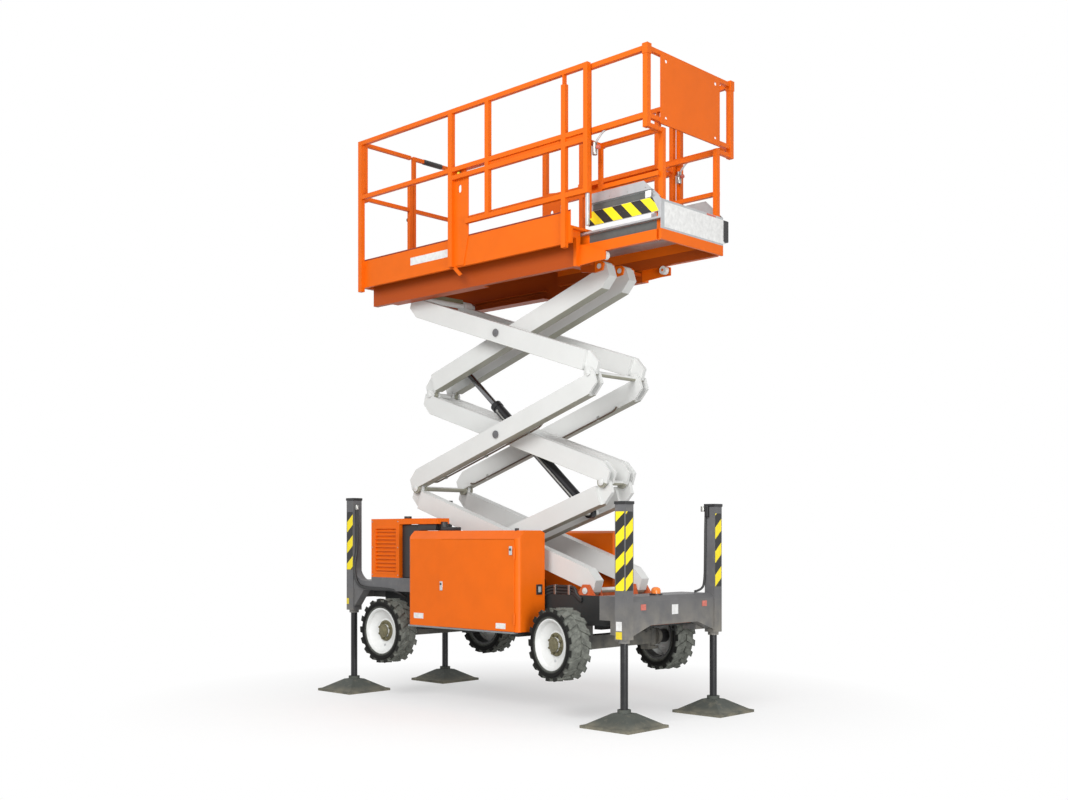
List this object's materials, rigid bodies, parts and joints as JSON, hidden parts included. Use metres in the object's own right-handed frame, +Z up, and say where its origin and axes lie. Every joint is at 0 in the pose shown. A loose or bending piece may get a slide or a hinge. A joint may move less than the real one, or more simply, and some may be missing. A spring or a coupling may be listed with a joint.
{
  "type": "scissor lift with outriggers",
  "caption": "Scissor lift on lugged wheels, raised on outrigger jacks, with a three-stage scissor stack and a railed platform whose front deck rolls out.",
  "frame": {"origin": "on the floor under the middle of the machine, between the four foot pads", "axes": "+X forward to the rolled-out deck, -Y the near side with the louvred cover, +Z up"},
  "size_m": [3.78, 1.63, 5.1493],
  "materials": {
    "orange_paint": "satin",
    "white_paint": "satin",
    "dark_paint": "satin",
    "axle_paint": "matte",
    "tyre_rubber": "matte",
    "rim_paint": "satin",
    "pad_steel": "matte",
    "leg_steel": "satin",
    "cylinder_black": "satin",
    "cylinder_chrome": "polished",
    "zinc_sheet": "satin",
    "white_nylon": "satin",
    "amber_lens": "gloss",
    "engine_iron": "matte"
  },
  "bodies": {
    "chassis": {"chassis_frame": "orange_paint", "front_outrigger_beam": "dark_paint", "rear_outrigger_beam": "dark_paint", "rear_axle": "axle_paint", "front_axle": "axle_paint", "near_module": "orange_paint", "far_module": "orange_paint", "engine_block": "engine_iron", "louvred_cover": "orange_paint", "beacon": "amber_lens"},
    "near_door": {"near_module_door": "orange_paint"},
    "far_door": {"far_module_door": "orange_paint"},
    "jack_front_near": {"jack_leg_front_near": "leg_steel", "foot_pad_front_near": "pad_steel"},
    "jack_front_far": {"jack_leg_front_far": "leg_steel", "foot_pad_front_far": "pad_steel"},
    "jack_rear_near": {"jack_leg_rear_near": "leg_steel", "foot_pad_rear_near": "pad_steel"},
    "jack_rear_far": {"jack_leg_rear_far": "leg_steel", "foot_pad_rear_far": "pad_steel"},
    "knuckle_near": {"steering_knuckle_near": "axle_paint"},
    "knuckle_far": {"steering_knuckle_far": "axle_paint"},
    "wheel_front_near": {"tyre_front_near": "tyre_rubber", "rim_front_near": "rim_paint"},
    "wheel_front_far": {"tyre_front_far": "tyre_rubber", "rim_front_far": "rim_paint"},
    "wheel_rear_near": {"tyre_rear_near": "tyre_rubber", "rim_rear_near": "rim_paint"},
    "wheel_rear_far": {"tyre_rear_far": "tyre_rubber", "rim_rear_far": "rim_paint"},
    "level1_outer": {"level1_outer_arms": "white_paint"},
    "level1_inner": {"level1_inner_arms": "white_paint"},
    "level2_outer": {"level2_outer_arms": "white_paint"},
    "level2_inner": {"level2_inner_arms": "white_paint"},
    "level3_outer": {"level3_outer_arms": "white_paint"},
    "level3_inner": {"level3_inner_arms": "white_paint"},
    "cylinder_barrel": {"lift_cylinder_barrel": "cylinder_black"},
    "cylinder_rod": {"lift_cylinder_rod": "cylinder_chrome"},
    "platform": {"platform_deck": "orange_paint", "near_side_rails": "orange_paint", "far_side_rails": "orange_paint", "rear_rails": "orange_paint", "support_rollers": "white_nylon"},
    "gate": {"entry_gate": "orange_paint"},
    "roll_out": {"roll_out_frame": "orange_paint", "roll_out_deck": "zinc_sheet", "roll_out_rails": "orange_paint", "front_panel": "orange_paint"}
  },
  "joints": [
    {"name": "lift", "type": "hinge", "parent": "chassis", "child": "level1_outer", "pos_m": [1.075, 0, 1.014], "axis": [0, 1, 0], "range_deg": [-18.25, 30.9]},
    {"name": "level1_cross", "type": "hinge", "parent": "level1_outer", "child": "level1_inner", "pos_m": [0.02023, 0, 1.45306], "axis": [0, 1, 0], "range_deg": [-62.8, 37.5]},
    {"name": "outer_rear_fold", "type": "hinge", "parent": "level1_outer", "child": "level2_outer", "pos_m": [-1.03454, 0, 1.89211], "axis": [0, 1, 0], "range_deg": [-62.8, 37.5]},
    {"name": "level2_cross", "type": "hinge", "parent": "level2_outer", "child": "level2_inner", "pos_m": [0.02023, 0, 2.33117], "axis": [0, 1, 0], "range_deg": [-37.5, 62.8]},
    {"name": "outer_front_fold", "type": "hinge", "parent": "level2_outer", "child": "level3_outer", "pos_m": [1.075, 0, 2.77023], "axis": [0, 1, 0], "range_deg": [-37.5, 62.8]},
    {"name": "level3_cross", "type": "hinge", "parent": "level3_outer", "child": "level3_inner", "pos_m": [0.02023, 0, 3.20929], "axis": [0, 1, 0], "range_deg": [-62.8, 37.5]},
    {"name": "platform_level", "type": "hinge", "parent": "level3_inner", "child": "platform", "pos_m": [1.075, 0, 3.64834], "axis": [0, 1, 0], "range_deg": [-19.25, 31.9]},
    {"name": "cylinder_swing", "type": "hinge", "parent": "level1_inner", "child": "cylinder_barrel", "pos_m": [0.80469, 0, 1.64961], "axis": [0, 1, 0], "range_deg": [-36.41, 60.95]},
    {"name": "cylinder_stroke", "type": "slide", "parent": "cylinder_barrel", "child": "cylinder_rod", "axis": [-0.7549, 0, 0.6559], "range_m": [-0.434, 0.721]},
    {"name": "gate_hinge", "type": "hinge", "parent": "platform", "child": "gate", "pos_m": [-1.515, 0.545, 4.6], "axis": [0, 0, 1], "range_deg": [0, 90]},
    {"name": "roll_out_slide", "type": "slide", "parent": "platform", "child": "roll_out", "axis": [1, 0, 0], "range_m": [-0.7, 0.1]},
    {"name": "near_door_hinge", "type": "hinge", "parent": "chassis", "child": "near_door", "pos_m": [0.645, -0.747, 1.05], "axis": [0, 0, 1], "range_deg": [0, 100]},
    {"name": "far_door_hinge", "type": "hinge", "parent": "chassis", "child": "far_door", "pos_m": [0.645, 0.747, 1.05], "axis": [0, 0, 1], "range_deg": [-100, 0]},
    {"name": "steer_near", "type": "hinge", "parent": "chassis", "child": "knuckle_near", "pos_m": [1.065, -0.5, 0.6], "axis": [0, 0, 1], "range_deg": [-11, 33]},
    {"name": "steer_far", "type": "hinge", "parent": "chassis", "child": "knuckle_far", "pos_m": [1.065, 0.5, 0.6], "axis": [0, 0, 1], "range_deg": [-11, 33]},
    {"name": "jack_slide_front_near", "type": "slide", "parent": "chassis", "child": "jack_front_near", "axis": [0, 0, 1], "range_m": [-0.15, 0.48]},
    {"name": "jack_slide_front_far", "type": "slide", "parent": "chassis", "child": "jack_front_far", "axis": [0, 0, 1], "range_m": [-0.15, 0.48]},
    {"name": "jack_slide_rear_near", "type": "slide", "parent": "chassis", "child": "jack_rear_near", "axis": [0, 0, 1], "range_m": [-0.15, 0.48]},
    {"name": "jack_slide_rear_far", "type": "slide", "parent": "chassis", "child": "jack_rear_far", "axis": [0, 0, 1], "range_m": [-0.15, 0.48]},
    {"name": "wheel_spin_front_near", "type": "hinge", "parent": "knuckle_near", "child": "wheel_front_near", "pos_m": [1.03886, -0.63448, 0.6], "axis": [0.1908, 0.9816, 0], "continuous": true},
    {"name": "wheel_spin_front_far", "type": "hinge", "parent": "knuckle_far", "child": "wheel_front_far", "pos_m": [1.09114, 0.63448, 0.6], "axis": [0.1908, 0.9816, 0], "continuous": true},
    {"name": "wheel_spin_rear_near", "type": "hinge", "parent": "chassis", "child": "wheel_rear_near", "pos_m": [-1.065, -0.637, 0.6], "axis": [0, 1, 0], "continuous": true},
    {"name": "wheel_spin_rear_far", "type": "hinge", "parent": "chassis", "child": "wheel_rear_far", "pos_m": [-1.065, 0.637, 0.6], "axis": [0, 1, 0], "continuous": true}
  ],
  "couplings": [
    {"joint": "level1_cross", "follows": "lift", "ratio": -2},
    {"joint": "outer_rear_fold", "follows": "lift", "ratio": -2},
    {"joint": "level2_cross", "follows": "lift", "ratio": 2},
    {"joint": "outer_front_fold", "follows": "lift", "ratio": 2},
    {"joint": "level3_cross", "follows": "lift", "ratio": -2},
    {"joint": "platform_level", "follows": "lift", "ratio": 1},
    {"joint": "cylinder_swing", "follows": "lift", "ratio": 1.94},
    {"joint": "cylinder_stroke", "follows": "lift", "m_per_rad": 1.3},
    {"joint": "steer_far", "follows": "steer_near", "ratio": 1}
  ]
}
